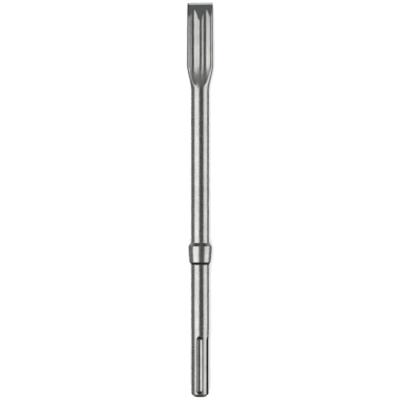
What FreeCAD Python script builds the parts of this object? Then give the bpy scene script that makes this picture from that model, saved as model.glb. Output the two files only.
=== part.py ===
import FreeCAD, Part
import math
import os

# Flat chisel for a rotary hammer: one bar of round steel, turned at the shank and forged at the blade.
# Its axis is Y, from the striking face at the origin to the cutting edge. The blade's broad faces look
# up and down, along Z, and its width runs along X. All sizes are in millimetres and degrees.

# Whole tool
overall_length = 400.0
shaft_diameter = 18.0

# Shank end, which goes into the hammer
shank_relief = 0.13  # the grooved end is turned this much smaller than the shaft, on the radius
shank_length = 67.5
relief_step_length = 2.0
end_chamfer_length = 2.3
end_chamfer_depth = 3.0
end_outer_round = 1.6
end_inner_round = 0.4

# Locking grooves: round-bottomed and closed at both ends
locking_groove_count = 2
locking_groove_first = 2.5  # angle from the middle of the blade's upper face, towards +X
locking_groove_radius = 4.45
locking_groove_depth = 2.4
locking_groove_start = 3.1
locking_groove_end = 61.7

# Drive slots: flat-floored with sloping flanks, and open at the striking face
drive_slot_angles = (77.0, -114.0)
drive_slot_width = 8.0
drive_slot_depth = 2.6
drive_slot_flank_draft = 30.0
drive_slot_end = 61.7
drive_slot_runout_radius = 12.0
drive_slot_runout_sweep = 60.0
drive_slot_cutter_height = 5.0

# Collar, which stops the tool in the holder
collar_position = 134.5
collar_foot_length = 2.1
collar_foot_diameter = 21.7
collar_length = 18.2
collar_rim_diameter = 23.9
collar_top_length = 3.5
collar_foot_round = 0.5
collar_rim_round = 0.8
collar_root_round = 1.6
collar_heel_round = 1.2

# Neck, which passes from the round shaft to the flat blade
neck_length = 23.9
neck_blend_length = 3.5
neck_hollow = 0.4  # dip of the neck's broad faces under a straight slope

# Blade
blade_length = 64.2
blade_root_width = 26.4
blade_tip_width = 25.7
blade_thickness = 10.4
blade_squareness = 1.0  # 0.59 gives an oval section, 1 a rounded rectangle with slightly crowned faces

# Cutting end
wedge_length = 18.0
bevel_length = 2.2
bevel_root_thickness = 4.4
edge_thickness = 0.4

# Flutes, two in each broad face of the blade: open V grooves with a rounded floor
flute_spacing = 12.2
flute_depth = 2.0
flute_flank_angle = 31.0
flute_floor_radius = 5.3
flute_lead = 1.2  # the flute's floor begins to rise this far ahead of the blade's root
flute_runout_radius = 55.0
flute_runout_sweep = 45.0
flute_cutter_height = 12.0

# Worked-out sizes
shaft_radius = shaft_diameter / 2
shank_radius = shaft_radius - shank_relief
neck_end = overall_length - blade_length
neck_start = neck_end - neck_length
cutter_overrun = shaft_diameter

# A quarter of a circle as one rational cubic: these two numbers make it exact
ROUND_WEIGHT = (1 + math.sqrt(2)) / 3
ROUND_REACH = math.sqrt(2) / (1 + math.sqrt(2))

ORIGIN = FreeCAD.Vector(0, 0, 0)
AXIS = FreeCAD.Vector(0, 1, 0)
UP = FreeCAD.Vector(0, 0, 1)
ACROSS = FreeCAD.Vector(1, 0, 0)


def rounded_outline(corners):
    """Closed outline of straight lines in the Y-Z plane. Each corner is (y, z, radius of its round)."""
    starts, ends, arcs = [], [], []
    count = len(corners)
    for i, (y, z, radius) in enumerate(corners):
        corner = FreeCAD.Vector(0, y, z)
        back = FreeCAD.Vector(0, *corners[i - 1][:2]) - corner
        ahead = FreeCAD.Vector(0, *corners[(i + 1) % count][:2]) - corner
        half_angle = back.getAngle(ahead) / 2
        reach = radius / math.tan(half_angle)
        back.normalize()
        ahead.normalize()
        middle = (back + ahead).normalize()
        sagitta_point = corner + middle * (radius / math.sin(half_angle) - radius)
        starts.append(corner + back * reach)
        ends.append(corner + ahead * reach)
        arcs.append(sagitta_point if radius else None)
    edges = []
    for i in range(count):
        if arcs[i]:
            edges.append(Part.Arc(starts[i], arcs[i], ends[i]).toShape())
        edges.append(Part.LineSegment(ends[i], starts[(i + 1) % count]).toShape())
    return Part.Wire(edges)


def turned_bar():
    """Shank, shaft and collar, turned about the axis as far as the neck."""
    chamfer_radius = shank_radius - end_chamfer_depth
    collar_end = collar_position + collar_length
    outline = rounded_outline(
        [
            (0, 0, 0),
            (0, chamfer_radius, end_inner_round),
            (end_chamfer_length, shank_radius, end_outer_round),
            (shank_length, shank_radius, 0),
            (shank_length + relief_step_length, shaft_radius, 0),
            (collar_position, shaft_radius, collar_heel_round),
            (collar_position + collar_foot_length, collar_foot_diameter / 2, collar_foot_round),
            (collar_end, collar_rim_diameter / 2, collar_rim_round),
            (collar_end + collar_top_length, shaft_radius, collar_root_round),
            (neck_start, shaft_radius, 0),
            (neck_start, 0, 0),
        ]
    )
    return Part.Face(outline).revolve(ORIGIN, AXIS, 360)


def section_corner(station, side, level):
    """Control points of one quarter of a section, from its side at +-X to its crown at +-Z."""
    y, half_width, half_thickness, reach = station
    return [
        FreeCAD.Vector(side * half_width, y, 0),
        FreeCAD.Vector(side * half_width, y, level * reach * half_thickness),
        FreeCAD.Vector(side * reach * half_width, y, level * half_thickness),
        FreeCAD.Vector(0, y, level * half_thickness),
    ]


def skinned_solid(stations):
    """Solid skinned over stations (y, half width, half thickness, reach) as one Bezier span along Y."""
    count = len(stations)
    weights = [[weight] * count for weight in (1, ROUND_WEIGHT, ROUND_WEIGHT, 1)]
    faces = []
    for side, level in ((1, 1), (-1, 1), (-1, -1), (1, -1)):
        rows = [section_corner(station, side, level) for station in stations]
        poles = [[row[i] for row in rows] for i in range(4)]
        surface = Part.BSplineSurface()
        surface.buildFromPolesMultsKnots(
            poles, (4, 4), (count, count), (0.0, 1.0), (0.0, 1.0), False, False, 3, count - 1, weights
        )
        faces.append(surface.toShape())
    for y in (stations[0][0], stations[-1][0]):
        rim = [
            edge
            for face in faces[:4]
            for edge in face.Edges
            if all(abs(vertex.Point.y - y) < 1e-6 for vertex in edge.Vertexes)
        ]
        faces.append(Part.Face(Part.Wire(Part.__sortEdges__(rim))))
    shell = Part.makeShell(faces)
    shell.sewShape()
    return Part.Solid(shell)


def neck():
    """The bar spreads to the blade's width while it thins, with rounded beginnings and ends."""
    root_width = blade_root_width / 2
    half_thickness = blade_thickness / 2
    middle = (
        (neck_start + neck_end) / 2,
        (shaft_radius + root_width) / 2,
        (shaft_radius + half_thickness) / 2 - neck_hollow,
        (ROUND_REACH + blade_squareness) / 2,
    )
    return skinned_solid(
        [
            (neck_start, shaft_radius, shaft_radius, ROUND_REACH),
            (neck_start + neck_blend_length, shaft_radius, shaft_radius, ROUND_REACH),
            middle,
            (neck_end - neck_blend_length, root_width, half_thickness, blade_squareness),
            (neck_end, root_width, half_thickness, blade_squareness),
        ]
    )


def blade():
    half_thickness = blade_thickness / 2
    return skinned_solid(
        [
            (neck_end, blade_root_width / 2, half_thickness, blade_squareness),
            (overall_length, blade_tip_width / 2, half_thickness, blade_squareness),
        ]
    )


def flute_section(centre_x, y):
    """Section of one flute in the upper face, open V with a rounded floor, carried on above the face."""
    flank = math.radians(flute_flank_angle)
    floor = blade_thickness / 2 - flute_depth
    round_half_width = flute_floor_radius * math.sin(flank)
    round_top = floor + flute_floor_radius * (1 - math.cos(flank))
    open_half_width = round_half_width + (floor + flute_cutter_height - round_top) / math.tan(flank)
    top = floor + flute_cutter_height
    left_top = FreeCAD.Vector(centre_x - open_half_width, y, top)
    left_foot = FreeCAD.Vector(centre_x - round_half_width, y, round_top)
    bottom = FreeCAD.Vector(centre_x, y, floor)
    right_foot = FreeCAD.Vector(centre_x + round_half_width, y, round_top)
    right_top = FreeCAD.Vector(centre_x + open_half_width, y, top)
    edges = [
        Part.LineSegment(left_top, left_foot).toShape(),
        Part.Arc(left_foot, bottom, right_foot).toShape(),
        Part.LineSegment(right_foot, right_top).toShape(),
        Part.LineSegment(right_top, left_top).toShape(),
    ]
    return Part.Face(Part.Wire(edges))


def flute_cutter(side):
    """Cutter for a flute in the upper face: straight in the blade, curving out at the neck."""
    centre_x = side * flute_spacing / 2
    runout_start = neck_end + flute_lead
    section = flute_section(centre_x, runout_start)
    straight = section.extrude(AXIS * (overall_length + cutter_overrun - runout_start))
    floor = blade_thickness / 2 - flute_depth
    pivot = FreeCAD.Vector(centre_x, runout_start, floor + flute_runout_radius)
    runout = section.revolve(pivot, ACROSS * -1, flute_runout_sweep)
    return straight.fuse(runout)


def flute_cutters():
    upper = [flute_cutter(side) for side in (-1, 1)]
    lower = [cutter.rotated(ORIGIN, AXIS, 180) for cutter in upper]
    return upper + lower


def wedge_envelope():
    """Clear of the tool as far as the blade's end: there two long wedge faces, then two short bevels."""
    bevel_start = overall_length - bevel_length
    half_root = bevel_root_thickness / 2
    slope = (blade_thickness / 2 - half_root) / (wedge_length - bevel_length)
    open_height = shaft_diameter
    open_start = bevel_start - (open_height - half_root) / slope
    upper = [
        (-cutter_overrun, open_height),
        (open_start, open_height),
        (bevel_start, half_root),
        (overall_length, edge_thickness / 2),
    ]
    lower = [(y, -z) for y, z in reversed(upper)]
    points = [FreeCAD.Vector(-shaft_diameter, y, z) for y, z in upper + lower]
    outline = Part.makePolygon(points + points[:1])
    return Part.Face(outline).extrude(ACROSS * 2 * shaft_diameter)


def locking_groove_cutter(angle):
    """Cylinder with ball ends, sunk into the shank's surface."""
    height = shank_radius - locking_groove_depth + locking_groove_radius
    # Where a ball end meets the shank's crown, ahead of the ball's centre
    ball_reach = math.sqrt(locking_groove_radius**2 - (height - shank_radius) ** 2)
    first = FreeCAD.Vector(0, locking_groove_start + ball_reach, height)
    last = FreeCAD.Vector(0, locking_groove_end - ball_reach, height)
    barrel = Part.makeCylinder(locking_groove_radius, last.y - first.y, first, AXIS)
    balls = [Part.makeSphere(locking_groove_radius, centre) for centre in (first, last)]
    return barrel.fuse(balls).rotated(ORIGIN, AXIS, angle)


def drive_slot_cutter(angle):
    """Slot that runs in from the striking face, and curves out to the shank's surface at its far end."""
    floor = shank_radius - drive_slot_depth
    top = floor + drive_slot_cutter_height
    draft = math.tan(math.radians(drive_slot_flank_draft))
    # The flanks meet the shank's round surface below its crown
    rim = math.sqrt(shank_radius**2 - (drive_slot_width / 2) ** 2)
    floor_half_width = drive_slot_width / 2 - (rim - floor) * draft
    top_half_width = floor_half_width + drive_slot_cutter_height * draft
    # The floor rises to the shank's crown over this length
    runout = math.sqrt(drive_slot_runout_radius**2 - (drive_slot_runout_radius - drive_slot_depth) ** 2)
    runout_start = drive_slot_end - runout
    corners = [
        FreeCAD.Vector(-floor_half_width, runout_start, floor),
        FreeCAD.Vector(floor_half_width, runout_start, floor),
        FreeCAD.Vector(top_half_width, runout_start, top),
        FreeCAD.Vector(-top_half_width, runout_start, top),
    ]
    section = Part.Face(Part.makePolygon(corners + corners[:1]))
    straight = section.extrude(AXIS * -(runout_start + cutter_overrun))
    pivot = FreeCAD.Vector(0, runout_start, floor + drive_slot_runout_radius)
    runout_part = section.revolve(pivot, ACROSS, drive_slot_runout_sweep)
    return straight.fuse(runout_part).rotated(ORIGIN, AXIS, angle)


def chisel():
    tool = turned_bar().fuse([neck(), blade()])
    tool = tool.common(wedge_envelope())
    tool = tool.cut(flute_cutters())
    spacing = 360 / locking_groove_count
    locking = [
        locking_groove_cutter(locking_groove_first + spacing * i) for i in range(locking_groove_count)
    ]
    drive = [drive_slot_cutter(angle) for angle in drive_slot_angles]
    return tool.cut(locking + drive)


os.makedirs("parts", exist_ok=True)
solids = chisel().Solids
body = solids[0]
print("solids", len(solids), "valid", body.isValid(), "volume", round(body.Volume, 1), body.BoundBox)
body.exportStep("parts/flat_chisel.step")
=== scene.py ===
import math

import bpy
import numpy as np
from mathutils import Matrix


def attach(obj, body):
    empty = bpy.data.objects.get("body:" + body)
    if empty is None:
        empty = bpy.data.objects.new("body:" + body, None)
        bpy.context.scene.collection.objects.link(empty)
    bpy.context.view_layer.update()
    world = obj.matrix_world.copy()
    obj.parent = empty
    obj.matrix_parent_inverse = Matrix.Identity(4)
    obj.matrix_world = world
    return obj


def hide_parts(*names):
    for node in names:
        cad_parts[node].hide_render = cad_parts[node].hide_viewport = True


# Looks of the flat chisel. It lies on a pale floor, seen from above with its cutting edge at the top of the
# picture. Two long soft boxes hang left and right of it. The scene is in metres. The tool's own sizes, and
# the functions that shape its surface, are in millimetres from the striking face.

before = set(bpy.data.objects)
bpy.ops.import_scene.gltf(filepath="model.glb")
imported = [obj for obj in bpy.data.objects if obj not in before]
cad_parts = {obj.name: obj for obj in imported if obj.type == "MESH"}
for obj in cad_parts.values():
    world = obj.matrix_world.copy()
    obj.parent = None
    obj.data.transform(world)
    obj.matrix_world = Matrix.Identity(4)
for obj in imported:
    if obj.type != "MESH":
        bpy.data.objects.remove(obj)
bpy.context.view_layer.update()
MM = 0.001

# Turned bar: shank, shaft and collar
SHAFT_RADIUS = 9.0
SHANK_RADIUS = 8.87
SHANK_END = 67.5
RELIEF_END = 69.5
END_CHAMFER_RADIUS = 5.87
END_CHAMFER_END = 2.3
COLLAR_START = 134.5
COLLAR_FOOT_END = 136.6
COLLAR_FOOT_RADIUS = 10.85
COLLAR_RIM = 152.7
COLLAR_RIM_RADIUS = 11.95
COLLAR_END = 156.2
NECK_START = 311.9

# Locking grooves and drive slots. Turns are angles round the axis, from +Z towards -X.
GROOVE_TURNS = (-2.5, 177.5)
GROOVE_RADIUS = 4.45
GROOVE_HEIGHT = 10.92
GROOVE_FIRST = 7.05
GROOVE_LAST = 57.75
GROOVE_EDGE_TURN = 23.2
SLOT_TURNS = (-77.0, 114.0)
SLOT_FLOOR = 6.27
SLOT_FLOOR_HALF_WIDTH = 3.05
SLOT_DRAFT = math.tan(math.radians(30.0))
SLOT_RUNOUT_START = 54.24
SLOT_RUNOUT_RADIUS = 12.0
SLOT_EDGE_TURN = 26.3
CUTS_END = 61.7
ACROSS_WEAR = 0.18
ALONG_WEAR = 0.15

# Lines of painted shade in the locking grooves: each one's turn from the groove's middle, and its width in
# degrees
RIM_SHADE_LINE = (20.6, 2.6)
MIDDLE_SHADE_LINE = (3.5, 3.5)

# Neck and blade
NECK_END = 335.8
NECK_BLEND = 3.5
NECK_HOLLOW = 0.4
ROOT_HALF_WIDTH = 13.2
TIP_HALF_WIDTH = 12.85
HALF_THICKNESS = 5.2
TIP = 400.0
ROUND_WEIGHT = (1 + math.sqrt(2)) / 3
ROUND_REACH = math.sqrt(2) / (1 + math.sqrt(2))

# Flutes, wedge and bevels
FLUTE_X = 6.1
FLUTE_FLOOR = 3.2
FLUTE_FLOOR_RADIUS = 5.3
FLUTE_FLANK = math.radians(31.0)
FLUTE_RUNOUT_START = 337.0
FLUTE_RUNOUT_RADIUS = 55.0
WEDGE_START = 382.0
BEVEL_START = 397.8
BEVEL_ROOT = 2.2
EDGE_HALF = 0.2

# Fine mesh: columns in a quarter of the way round, and the stretches with close stations along the tool
QUARTER_COLUMNS = 80
FINE_STRETCHES = ((0.0, 9.0), (50.0, 62.5), (311.9, 343.0), (376.0, 400.0))
FINE_SPACING = 0.5
COARSE_SPACING = 8.0
COLUMN_CROWDING = 5.0
CROWDING_TURN = 2.0
FAR = 100.0

# Camera: the photograph's frame is this wide at the tool's axis. The camera stands a little to the right of
# straight above, because the photograph shows the blade's face turned slightly to the left.
VIEW_WIDTH = 0.4064
VIEW_CENTRE_X = -0.0001
VIEW_CENTRE_Y = 0.1996
CAMERA_DISTANCE = 1.5
CAMERA_TURN = 4.0
SENSOR_WIDTH = 36.0

# Soft boxes: the sweep of directions that each one fills, seen from the tool's axis. 0 points to the camera,
# and positive angles lean towards +X.
SOFTBOX_DISTANCE = 0.55
SOFTBOX_START_Y = -0.14
SOFTBOX_END_Y = 0.49
LEFT_BOX = (-76.0, -14.0)
RIGHT_BOX = (47.0, 99.0)
LEFT_RADIANCE = 1.28
RIGHT_RADIANCE = 1.12

# Overhead light that whitens the floor, and a small light beyond the tip that brightens the bevel
OVERHEAD_HEIGHT = 2.5
OVERHEAD_SIZE = (3.0, 3.0)
OVERHEAD_RADIANCE = 4.8
TIP_LIGHT_GAP = 0.12
TIP_LIGHT_HEIGHT = 0.02
TIP_LIGHT_TURN = -80.0
TIP_LIGHT_SIZE = (0.10, 0.04)
TIP_LIGHT_RADIANCE = 2.0

# Steel: linear tones, and the height of its marks in metres
PALE_STEEL = (0.66, 0.655, 0.635, 1)
DULL_STEEL = (0.56, 0.56, 0.54, 1)
SMUDGED_STEEL = (0.50, 0.495, 0.475, 1)
GROUND_STEEL = (0.37, 0.405, 0.43, 1)
BEVEL_STEEL = (0.78, 0.78, 0.77, 1)
# Dark tone of painted shade on the blade's narrow sides
SIDE_SHADE_TONE = (0.16, 0.158, 0.15, 1)
# Near-black tone of grease and painted shade
GREASE_AND_SHADE_TONE = (0.012, 0.0115, 0.011, 1)
MARK_HEIGHT = 0.00002


def smooth_step(value, start, end):
    share = np.clip((value - start) / (end - start), 0.0, 1.0)
    return share * share * (3.0 - 2.0 * share)


def smooth_min(first, second, size):
    """The smaller value, with the edge between the two rounded over this size."""
    overlap = np.clip(size - np.abs(first - second), 0.0, None) / size
    return np.minimum(first, second) - overlap * overlap * size / 4.0


def round_corner(before, corner, after, steps=6):
    """Points of the arc that rounds one corner (place, radius, round) of the bar's outline."""
    here = np.array(corner[:2])
    back = np.array(before[:2]) - here
    ahead = np.array(after[:2]) - here
    back /= np.linalg.norm(back)
    ahead /= np.linalg.norm(ahead)
    if corner[2] == 0:
        return [here]
    half = math.acos(float(back @ ahead)) / 2
    middle = (back + ahead) / np.linalg.norm(back + ahead)
    centre = here + middle * corner[2] / math.sin(half)
    first = here + back * corner[2] / math.tan(half) - centre
    last = here + ahead * corner[2] / math.tan(half) - centre
    sweep = math.pi - 2 * half
    return [
        centre + (math.sin((1 - share) * sweep) * first + math.sin(share * sweep) * last) / math.sin(sweep)
        for share in np.linspace(0, 1, steps + 1)
    ]


def station_spacing(y):
    """Close together in the fine stretches, and gradually wider away from them."""
    distance = min(max(start - y, y - end, 0.0) for start, end in FINE_STRETCHES)
    return min(FINE_SPACING + 0.35 * distance, COARSE_SPACING)


def bar_stations():
    """Places along the bar and its radius there, from the striking face's rim to the neck."""
    corners = [
        (0.0, 0.0, 0),
        (0.0, END_CHAMFER_RADIUS, 0.4),
        (END_CHAMFER_END, SHANK_RADIUS, 1.6),
        (SHANK_END, SHANK_RADIUS, 0),
        (RELIEF_END, SHAFT_RADIUS, 0),
        (COLLAR_START, SHAFT_RADIUS, 1.2),
        (COLLAR_FOOT_END, COLLAR_FOOT_RADIUS, 0.5),
        (COLLAR_RIM, COLLAR_RIM_RADIUS, 0.8),
        (COLLAR_END, SHAFT_RADIUS, 1.6),
        (NECK_START, SHAFT_RADIUS, 0),
        (TIP, SHAFT_RADIUS, 0),
    ]
    points = []
    for before, corner, after in zip(corners, corners[1:], corners[2:]):
        points += round_corner(before, corner, after)
    places = [points[0]]
    for point in points[1:]:
        while point[0] - places[-1][0] > 1.5 * station_spacing(places[-1][0]):
            left = point - places[-1]
            places.append(places[-1] + left * station_spacing(places[-1][0]) / left[0])
        places.append(point)
    return np.array(places)


def head_stations():
    """Places along the neck and blade, with one at the bevels' root and one at the cutting edge."""
    places = [NECK_START + FINE_SPACING]
    while places[-1] < BEVEL_START:
        places.append(places[-1] + station_spacing(places[-1]))
    return np.array(places[:-1] + [BEVEL_START, (BEVEL_START + TIP) / 2, TIP])


def quarter_outline(share, section):
    """Point of a quarter section, from its side (share 0) to its crown (share 1)."""
    half_width, side_height, crown_width, half_thickness = section
    side = (1 - share) ** 3
    side_pull = 3 * ROUND_WEIGHT * share * (1 - share) ** 2
    crown_pull = 3 * ROUND_WEIGHT * share**2 * (1 - share)
    crown = share**3
    total = side + side_pull + crown_pull + crown
    x = ((side + side_pull) * half_width + crown_pull * crown_width) / total
    z = (side_pull * side_height + (crown_pull + crown) * half_thickness) / total
    return x, z


def head_section(y):
    """Half width, side height, crown width and half thickness of the neck and blade at y."""
    round_bar = [SHAFT_RADIUS, ROUND_REACH * SHAFT_RADIUS, ROUND_REACH * SHAFT_RADIUS, SHAFT_RADIUS]
    root = [ROOT_HALF_WIDTH, HALF_THICKNESS, ROOT_HALF_WIDTH, HALF_THICKNESS]
    middle_width = (SHAFT_RADIUS + ROOT_HALF_WIDTH) / 2
    middle_thickness = (SHAFT_RADIUS + HALF_THICKNESS) / 2 - NECK_HOLLOW
    reach = (ROUND_REACH + 1) / 2
    middle = [middle_width, reach * middle_thickness, reach * middle_width, middle_thickness]
    controls = np.array([round_bar, round_bar, middle, root, root])
    middle_place = (NECK_START + NECK_END) / 2
    places = np.array([NECK_START, NECK_START + NECK_BLEND, middle_place, NECK_END - NECK_BLEND, NECK_END])
    share = np.linspace(0, 1, 400)[:, None]
    order = np.arange(5)
    pulls = np.array([1, 4, 6, 4, 1]) * share**order * (1 - share) ** (4 - order)
    along = pulls @ places
    neck = [np.interp(y, along, pulls @ column) for column in controls.T]
    taper = np.clip((y - NECK_END) / (TIP - NECK_END), 0, 1) * (TIP_HALF_WIDTH - ROOT_HALF_WIDTH)
    return neck[0] + taper, neck[1], neck[2] + taper, neck[3]


def spread(low, high, count, density):
    """Count places from low up to high, closer together where the density is greater."""
    fine = np.linspace(low, high, 8001)
    weight = density(fine)
    filled = np.concatenate(([0.0], np.cumsum((weight[1:] + weight[:-1]) / 2)))
    return np.interp(np.arange(count) / count * filled[-1], filled, fine)


def ring_shares():
    """Quarter shares of the columns, evenly spaced round the blade's section, and their sides and levels."""
    share = np.linspace(0, 1, 2000)
    x, z = quarter_outline(share, (TIP_HALF_WIDTH, HALF_THICKNESS, TIP_HALF_WIDTH, HALF_THICKNESS))
    length = np.concatenate(([0.0], np.cumsum(np.hypot(np.diff(x), np.diff(z)))))
    even = np.interp(np.linspace(0, length[-1], QUARTER_COLUMNS + 1), length, share)
    half = np.concatenate((even[:-1], even[:0:-1]))
    ones = np.ones(QUARTER_COLUMNS)
    sides = np.concatenate((ones, -ones, -ones, ones))
    levels = np.concatenate((ones, ones, -ones, -ones))
    return np.concatenate((half, half)), sides, levels


def shank_turns():
    """Angles of the columns on the shank, close together at the edges of the grooves and slots."""
    edges = [middle + side * GROOVE_EDGE_TURN for middle in GROOVE_TURNS for side in (-1, 1)]
    edges += [middle + side * SLOT_EDGE_TURN for middle in SLOT_TURNS for side in (-1, 1)]

    def density(turn):
        away = [(turn - edge + 180) % 360 - 180 for edge in edges]
        return 1 + COLUMN_CROWDING * sum(np.exp(-((gap / CROWDING_TURN) ** 2)) for gap in away)

    return np.radians(spread(-90, 270, 4 * QUARTER_COLUMNS, density))


def locking_groove(turn, y):
    """Radius of the groove's surface, at a turn from its middle: a cylinder with ball ends."""
    beyond = np.maximum(np.maximum(GROOVE_FIRST - y, y - GROOVE_LAST), 0)
    reach = GROOVE_RADIUS**2 - beyond**2 - (GROOVE_HEIGHT * np.sin(turn)) ** 2
    radius = GROOVE_HEIGHT * np.cos(turn) - np.sqrt(np.clip(reach, 0, None))
    return np.where((reach > 0) & (np.cos(turn) > 0), radius, FAR)


def drive_slot(turn, y):
    """Radius of the slot's surface, at a turn from its middle: flat floor and sloping flanks."""
    rise = np.clip(y - SLOT_RUNOUT_START, 0, SLOT_RUNOUT_RADIUS * 0.99)
    floor = SLOT_FLOOR + SLOT_RUNOUT_RADIUS - np.sqrt(SLOT_RUNOUT_RADIUS**2 - rise**2)
    cosine = np.clip(np.cos(turn), 0.1, 1)
    flank_gap = np.minimum(np.abs(np.sin(turn)) - SLOT_DRAFT * cosine, -0.0001)
    flank = (SLOT_FLOOR_HALF_WIDTH - floor * SLOT_DRAFT) / flank_gap
    inside = (np.cos(turn) > 0.3) & (flank_gap < -0.0001)
    return np.where(inside, np.maximum(floor / cosine, flank), FAR)


def shank_surface(turn, y, bar):
    """Radius of the bar after its grooves and slots are cut."""
    radius = np.broadcast_to(bar, np.broadcast(turn, y).shape)
    for middle in GROOVE_TURNS:
        radius = np.minimum(radius, locking_groove(turn - math.radians(middle), y))
    for middle in SLOT_TURNS:
        radius = np.minimum(radius, drive_slot(turn - math.radians(middle), y))
    return radius


def cut_grease_and_shade_share(turn, y, depth):
    """Where the cuts are darkened: grease and painted shade growing with depth all through the slots and at
    the locking grooves' ends, and lines of painted shade along the grooves' rims and middle.
    """
    gap = np.degrees((turn - math.radians(GROOVE_TURNS[0]) + math.pi / 2) % math.pi - math.pi / 2)
    away = np.abs(gap)
    # The groove ends and the slots darken with depth: painted shade in the recesses, together with grease
    ends = smooth_step(y, GROOVE_LAST - 0.5, GROOVE_LAST + 1)
    ends = ends + smooth_step(-y, -GROOVE_FIRST, 1.5 - GROOVE_FIRST)
    # The rim and middle lines are painted shade
    rims = np.exp(-(((away - RIM_SHADE_LINE[0]) / RIM_SHADE_LINE[1]) ** 2))
    middle = 0.8 * np.exp(-(((gap - MIDDLE_SHADE_LINE[0]) / MIDDLE_SHADE_LINE[1]) ** 2))
    grooves = np.maximum(ends * smooth_step(depth, 0.1, 0.8), (rims + middle) * (depth > 0.02))
    return np.where(away < GROOVE_EDGE_TURN + 1, grooves, smooth_step(depth, 0.1, 0.6))


def worn_shank_surface(turn, y, bar):
    """The same surface with every edge worn round, by averaging it over a small patch."""
    patch = [
        shank_surface(turn + across / SHANK_RADIUS, y + along, bar)
        for across in np.linspace(-ACROSS_WEAR, ACROSS_WEAR, 7)
        for along in (-ALONG_WEAR, 0, ALONG_WEAR)
    ]
    return sum(patch) / len(patch)


def flute_height(x, y):
    """Height of one flute's surface: a rounded V along the blade, which curves out at the neck."""
    away = np.abs(x)
    straight_start = FLUTE_FLOOR_RADIUS * math.sin(FLUTE_FLANK)
    round_top = FLUTE_FLOOR_RADIUS * (1 - math.cos(FLUTE_FLANK))
    in_round = FLUTE_FLOOR_RADIUS - np.sqrt(FLUTE_FLOOR_RADIUS**2 - np.minimum(away, straight_start) ** 2)
    in_flank = round_top + (away - straight_start) * math.tan(FLUTE_FLANK)
    rise = np.where(away < straight_start, in_round, in_flank)
    behind = np.clip(FLUTE_RUNOUT_START - y, 0, None)
    lift = FLUTE_RUNOUT_RADIUS - np.sqrt(np.clip((FLUTE_RUNOUT_RADIUS - rise) ** 2 - behind**2, 0, None))
    return FLUTE_FLOOR + lift


def wedge_height(y):
    """Height of the wedge faces, and of the bevels at the cutting edge."""
    slope = (HALF_THICKNESS - BEVEL_ROOT) / (BEVEL_START - WEDGE_START)
    bevel_slope = (BEVEL_ROOT - EDGE_HALF) / (TIP - BEVEL_START)
    return np.minimum(BEVEL_ROOT + (BEVEL_START - y) * slope, EDGE_HALF + (TIP - y) * bevel_slope)


def bar_points(turns):
    """Grid of points on the bar, and how much grease and painted shade darkens each."""
    stations = bar_stations()
    y, bar = stations[:, :1], stations[:, 1:]
    share = smooth_step(y, RELIEF_END, COLLAR_START - 4)
    turn = shank_turns() * (1 - share) + turns * share
    radius = np.where(y < CUTS_END + 1, worn_shank_surface(turn, y, bar), bar)
    points = np.stack((-radius * np.sin(turn), y + 0 * turn, radius * np.cos(turn)), axis=-1)
    return points, cut_grease_and_shade_share(turn, y, bar - radius)


def head_points(shares, sides, levels):
    """Grid of points on the neck and blade, and 1 for each that lies on a ground wedge face or bevel."""
    y = head_stations()[:, None]
    x, outer = quarter_outline(shares, head_section(y))
    edge_round = 0.12 + 0.5 * smooth_step(y, NECK_START + 8, NECK_END + 6)
    height = outer
    for middle in (-FLUTE_X, FLUTE_X):
        height = smooth_min(height, flute_height(x * sides - middle, y), edge_round)
    wedge = wedge_height(y)
    ground = smooth_step(height - wedge, -0.03, 0.12)
    height = np.maximum(smooth_min(height, wedge, 0.12), 0)
    points = np.stack((x * sides, y + 0 * height, height * levels), axis=-1)
    return points, ground


def grid_faces(rows, columns):
    """Quads round the tool, and a fan of triangles at each end."""
    here = np.arange(rows * columns).reshape(rows, columns)
    beside = np.roll(here, -1, axis=1)
    quads = np.stack((here[:-1], here[1:], beside[1:], beside[:-1]), axis=-1).reshape(-1, 4)
    near, far = rows * columns, rows * columns + 1
    fans = [(near, a, b) for a, b in zip(here[0], beside[0])]
    fans += [(far, b, a) for a, b in zip(here[-1], beside[-1])]
    return quads.tolist() + fans


def add_value(mesh, name, values):
    mesh.attributes.new(name, "FLOAT", "POINT").data.foreach_set("value", values.astype(np.float32))


def fine_chisel():
    """One closed mesh of the tool, with worn edges. It stands for the plain CAD shape."""
    shares, sides, levels = ring_shares()
    x, z = quarter_outline(shares, (1, ROUND_REACH, ROUND_REACH, 1))
    turns = np.unwrap(np.arctan2(-x * sides, z * levels))
    bar, cut_grease_and_shade = bar_points(turns)
    head, ground = head_points(shares, sides, levels)
    rows, columns = len(bar) + len(head), len(shares)
    ends = np.array([[0, 0, 0], [0, TIP, 0]])
    points = np.concatenate((bar.reshape(-1, 3), head.reshape(-1, 3), ends)) * MM
    mesh = bpy.data.meshes.new("flat_chisel_fine")
    mesh.from_pydata(points.tolist(), [], grid_faces(rows, columns))
    blank = np.zeros(head.shape[:2])
    # Grease and painted shade of the cuts, kept as a point attribute for the material
    add_value(mesh, "cut_grease_and_shade", np.concatenate((cut_grease_and_shade.ravel(), blank.ravel(), [0, 0])))
    blank = np.zeros(bar.shape[:2])
    add_value(mesh, "ground", np.concatenate((blank.ravel(), ground.ravel(), [0, 1])))
    mesh.shade_smooth()
    mesh.set_sharp_from_angle(angle=math.radians(30))
    chisel = bpy.data.objects.new("flat_chisel_fine", mesh)
    bpy.context.scene.collection.objects.link(chisel)
    return chisel


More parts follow.
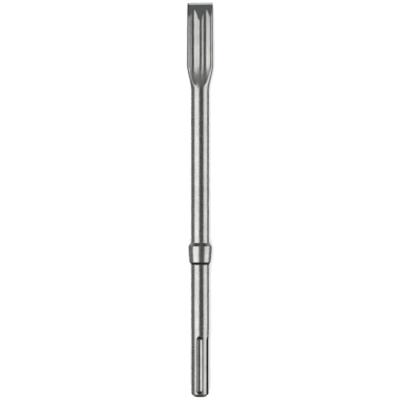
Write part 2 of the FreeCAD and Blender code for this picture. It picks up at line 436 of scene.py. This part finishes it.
class Nodes:
    """Short calls that build one material's or world's node tree."""

    def __init__(self, tree):
        self.tree = tree
        tree.nodes.clear()

    def add(self, kind, inputs=None, **settings):
        node = self.tree.nodes.new(kind)
        for name, value in settings.items():
            setattr(node, name, value)
        for key, value in (inputs or {}).items():
            if isinstance(value, bpy.types.NodeSocket):
                self.tree.links.new(value, node.inputs[key])
            else:
                node.inputs[key].default_value = value
        return node

    def math(self, operation, first, second=0.0):
        return self.add("ShaderNodeMath", {0: first, 1: second}, operation=operation).outputs[0]

    def ramp(self, value, start, end, low=0.0, high=1.0):
        """Smooth change from low to high while value goes from start to end."""
        inputs = {"Value": value, "From Min": start, "From Max": end, "To Min": low, "To Max": high}
        return self.add("ShaderNodeMapRange", inputs, interpolation_type="SMOOTHSTEP").outputs[0]

    def noise(self, vector, scale, detail=2.0, roughness=0.5, distortion=0.0):
        inputs = {
            "Vector": vector,
            "Scale": scale,
            "Detail": detail,
            "Roughness": roughness,
            "Distortion": distortion,
        }
        return self.add("ShaderNodeTexNoise", inputs).outputs[0]

    def mix_colour(self, share, first, second):
        inputs = {0: share, 6: first, 7: second}
        return self.add("ShaderNodeMix", inputs, data_type="RGBA").outputs[2]

    def mix_value(self, share, first, second):
        inputs = {0: share, 2: first, 3: second}
        return self.add("ShaderNodeMix", inputs, data_type="FLOAT").outputs[0]


def steel_marks(n, place, y, radius, angle):
    """Turning rings, grinding marks, blasted grain, clouds of tone and smudges."""
    # The rings are a little uneven round the bar
    turned = {
        0: n.math("MULTIPLY", angle, 0.3),
        1: n.math("MULTIPLY", y, 2600.0),
        2: n.math("MULTIPLY", radius, 2600.0),
    }
    ring_place = n.add("ShaderNodeCombineXYZ", turned).outputs[0]
    brush_place = n.add("ShaderNodeMapping", {"Vector": place, "Scale": (3800.0, 90.0, 3800.0)}).outputs[0]
    return {
        "rings": n.noise(ring_place, 1.0, detail=3.0, roughness=0.65),
        "brushed": n.noise(brush_place, 1.0, detail=3.0, roughness=0.6),
        "grain": n.noise(place, 2600.0, detail=2.0, roughness=0.6),
        "clouds": n.noise(place, 70.0, detail=4.0, roughness=0.55, distortion=0.4),
        "smudges": n.noise(place, 260.0, detail=3.0, roughness=0.6),
    }


def grease_and_shade_share(n, x, y, radius):
    """Grease and painted shade in the grooves and slots; painted shade at the collar's foot and on the
    middle of the end chamfer.
    """
    cuts = n.add("ShaderNodeAttribute", attribute_name="cut_grease_and_shade").outputs["Fac"]
    # Painted shade at the collar's foot, the step below the rim
    foot = n.math(
        "MULTIPLY",
        n.ramp(y, (COLLAR_START - 1.3) * MM, (COLLAR_START - 0.1) * MM),
        n.ramp(y, (COLLAR_FOOT_END - 0.3) * MM, (COLLAR_FOOT_END + 0.2) * MM, 1.0, 0.0),
    )
    # Painted shade on the middle of the end chamfer; it stops at the chamfer's inner edge, and the striking
    # face inside is left plain
    on_chamfer = n.math(
        "MULTIPLY",
        n.ramp(y, (END_CHAMFER_END - 0.5) * MM, (END_CHAMFER_END + 0.5) * MM, 0.9, 0.0),
        n.ramp(radius, END_CHAMFER_RADIUS * MM, (END_CHAMFER_RADIUS + 0.3) * MM),
    )
    in_middle = n.ramp(n.math("ABSOLUTE", x), 1.8 * MM, 3.6 * MM, 1.0, 0.0)
    chamfer = n.math("MULTIPLY", on_chamfer, in_middle)
    return n.math("MAXIMUM", n.math("MAXIMUM", cuts, foot), chamfer)


def side_shade_share(n, x, on_blade):
    """Painted shade on the blade's narrow sides, which dims their reflection of the soft boxes; stronger on
    the left one.
    """
    left_side = n.ramp(x, -11.5 * MM, -10.8 * MM, 0.75, 0.0)
    right_side = n.ramp(x, 11.6 * MM, 12.3 * MM, 0.0, 0.35)
    return n.math("MULTIPLY", n.math("ADD", left_side, right_side), on_blade)


def marks_normal(n, marks, on_blade):
    """Normal of the surface with its fine marks: rings on the bar, grinding marks and grain on the blade."""
    turned_height = n.mix_value(0.03, marks["rings"], marks["grain"])
    blade_height = n.mix_value(0.4, marks["brushed"], marks["grain"])
    bump = {
        "Strength": n.mix_value(on_blade, 0.07, 0.2),
        "Distance": MARK_HEIGHT,
        "Height": n.mix_value(on_blade, turned_height, blade_height),
    }
    return n.add("ShaderNodeBump", bump).outputs[0]


def steel_material():
    """Tool steel: turned shank, shaft and collar, blasted blade, ground wedge and bevels."""
    material = bpy.data.materials.new("forged_tool_steel")
    material.use_nodes = True
    n = Nodes(material.node_tree)
    place = n.add("ShaderNodeTexCoord").outputs["Object"]
    x, y, z = n.add("ShaderNodeSeparateXYZ", {0: place}).outputs
    radius = n.math("SQRT", n.math("ADD", n.math("MULTIPLY", x, x), n.math("MULTIPLY", z, z)))
    marks = steel_marks(n, place, y, radius, n.math("ARCTAN2", x, z))
    smudges = marks["smudges"]
    on_blade = n.ramp(y, (NECK_START - 4) * MM, (NECK_START + 12) * MM)
    on_wedge = n.add("ShaderNodeAttribute", attribute_name="ground").outputs["Fac"]
    on_bevel = n.ramp(y, (BEVEL_START - 0.1) * MM, (BEVEL_START + 0.1) * MM)
    grease_and_shade = grease_and_shade_share(n, x, y, radius)

    tone = n.mix_colour(n.ramp(marks["clouds"], 0.3, 0.7), DULL_STEEL, PALE_STEEL)
    tone = n.mix_colour(n.ramp(smudges, 0.35, 0.75, 0.0, 0.3), tone, SMUDGED_STEEL)
    tone = n.mix_colour(n.math("MULTIPLY", on_wedge, 0.85), tone, GROUND_STEEL)
    tone = n.mix_colour(on_bevel, tone, BEVEL_STEEL)
    # Painted shade on the blade's narrow sides
    tone = n.mix_colour(side_shade_share(n, x, on_blade), tone, SIDE_SHADE_TONE)
    # Grease and painted shade darken the cuts, the collar's foot and the middle of the end chamfer
    tone = n.mix_colour(grease_and_shade, tone, GREASE_AND_SHADE_TONE)

    smudged = n.ramp(smudges, 0.3, 0.7, -0.01, 0.015)
    turned = n.math("ADD", n.ramp(marks["rings"], 0.3, 0.7, 0.265, 0.3), smudged)
    roughness = n.mix_value(on_blade, turned, n.ramp(marks["brushed"], 0.3, 0.7, 0.26, 0.34))
    roughness = n.mix_value(on_bevel, roughness, 0.45)

    shading = {
        "Base Color": tone,
        "Metallic": n.ramp(grease_and_shade, 0.6, 1.0, 1.0, 0.0),
        "Roughness": n.mix_value(grease_and_shade, roughness, 0.3),
        "Specular IOR Level": 0.15,
        "Normal": marks_normal(n, marks, on_blade),
    }
    surface = n.add("ShaderNodeBsdfPrincipled", shading).outputs[0]
    n.add("ShaderNodeOutputMaterial", {"Surface": surface})
    return material


def floor_material():
    material = bpy.data.materials.new("pale_floor")
    material.use_nodes = True
    n = Nodes(material.node_tree)
    place = n.add("ShaderNodeTexCoord").outputs["Object"]
    speckle = n.noise(place, 400.0, detail=2.0)
    tone = n.mix_colour(n.ramp(speckle, 0.3, 0.7), (0.88, 0.88, 0.88, 1), (0.9, 0.9, 0.9, 1))
    surface = n.add("ShaderNodeBsdfPrincipled", {"Base Color": tone, "Roughness": 0.9}).outputs[0]
    n.add("ShaderNodeOutputMaterial", {"Surface": surface})
    return material


def add_floor():
    """Plane under the tool, which rests on the collar's rim and on the shaft where the neck begins."""
    tilt = math.atan((COLLAR_RIM_RADIUS - SHAFT_RADIUS) / (NECK_START - COLLAR_RIM))
    bpy.ops.mesh.primitive_plane_add(size=6.0)
    floor = bpy.context.object
    floor.name = "floor"
    floor.location = (0, COLLAR_RIM * MM, -COLLAR_RIM_RADIUS * MM)
    floor.rotation_euler = (tilt, 0, 0)
    floor.data.materials.append(floor_material())
    floor.visible_glossy = False
    floor.visible_shadow = False


def area_light(name, place, turn, size, radiance):
    """Rectangular light at place, turned this way. Its brightness is the same from near and far."""
    light = bpy.data.lights.new(name, "AREA")
    light.shape = "RECTANGLE"
    light.size, light.size_y = size
    light.energy = radiance * math.pi * size[0] * size[1]
    lamp = bpy.data.objects.new(name, light)
    bpy.context.scene.collection.objects.link(lamp)
    lamp.location = place
    lamp.rotation_euler = turn
    lamp.visible_camera = False
    return lamp


def softbox(name, sweep, radiance):
    """Long light beside the tool, which fills this sweep of directions and leaves the floor alone."""
    middle = math.radians((sweep[0] + sweep[1]) / 2 + CAMERA_TURN)
    half = math.radians((sweep[1] - sweep[0]) / 2)
    middle_y = (SOFTBOX_START_Y + SOFTBOX_END_Y) / 2
    place = (SOFTBOX_DISTANCE * math.sin(middle), middle_y, SOFTBOX_DISTANCE * math.cos(middle))
    size = (2 * SOFTBOX_DISTANCE * math.tan(half), SOFTBOX_END_Y - SOFTBOX_START_Y)
    lamp = area_light(name, place, (0, middle, 0), size, radiance)
    lamp.visible_diffuse = False


def add_lights():
    softbox("left_softbox", LEFT_BOX, LEFT_RADIANCE)
    softbox("right_softbox", RIGHT_BOX, RIGHT_RADIANCE)
    above = (0, VIEW_CENTRE_Y, OVERHEAD_HEIGHT)
    overhead = area_light("overhead", above, (0, 0, 0), OVERHEAD_SIZE, OVERHEAD_RADIANCE)
    overhead.visible_glossy = False
    beyond = (0, TIP * MM + TIP_LIGHT_GAP, TIP_LIGHT_HEIGHT)
    turn = (math.radians(TIP_LIGHT_TURN), 0, 0)
    tip = area_light("tip_light", beyond, turn, TIP_LIGHT_SIZE, TIP_LIGHT_RADIANCE)
    tip.visible_diffuse = False


def add_world():
    """Dim grey studio: darker overhead than low down, with a paler band beyond each end of the tool."""
    world = bpy.data.worlds.new("studio")
    bpy.context.scene.world = world
    world.use_nodes = True
    n = Nodes(world.node_tree)
    direction = n.add("ShaderNodeTexCoord").outputs["Generated"]
    _, along, height = n.add("ShaderNodeSeparateXYZ", {0: direction}).outputs
    along = n.math("ABSOLUTE", along)
    ends = n.ramp(along, 0.18, 0.38, 0.0, 0.15)
    grey = n.math("ADD", n.ramp(height, -0.3, 0.2, 0.2, 0.06), ends)
    grey = n.math("MULTIPLY", grey, n.ramp(along, 0.6, 0.85, 1.0, 0.25))
    background = n.add("ShaderNodeBackground", {"Color": grey, "Strength": 1.0}).outputs[0]
    n.add("ShaderNodeOutputWorld", {"Surface": background})


def add_camera():
    camera = bpy.data.cameras.new("camera")
    camera.sensor_width = SENSOR_WIDTH
    camera.lens = SENSOR_WIDTH * CAMERA_DISTANCE / VIEW_WIDTH
    camera.clip_start = 0.1
    camera.clip_end = 20.0
    holder = bpy.data.objects.new("camera", camera)
    bpy.context.scene.collection.objects.link(holder)
    turn = math.radians(CAMERA_TURN)
    across = VIEW_CENTRE_X + CAMERA_DISTANCE * math.sin(turn)
    holder.location = (across, VIEW_CENTRE_Y, CAMERA_DISTANCE * math.cos(turn))
    holder.rotation_euler = (0, turn, 0)
    bpy.context.scene.camera = holder


def add_chisel():
    chisel = fine_chisel()
    chisel.data.materials.append(steel_material())
    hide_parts("flat_chisel")
    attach(chisel, "root")


add_chisel()
add_floor()
add_lights()
add_world()
add_camera()
bpy.context.scene.view_settings.view_transform = "Standard"
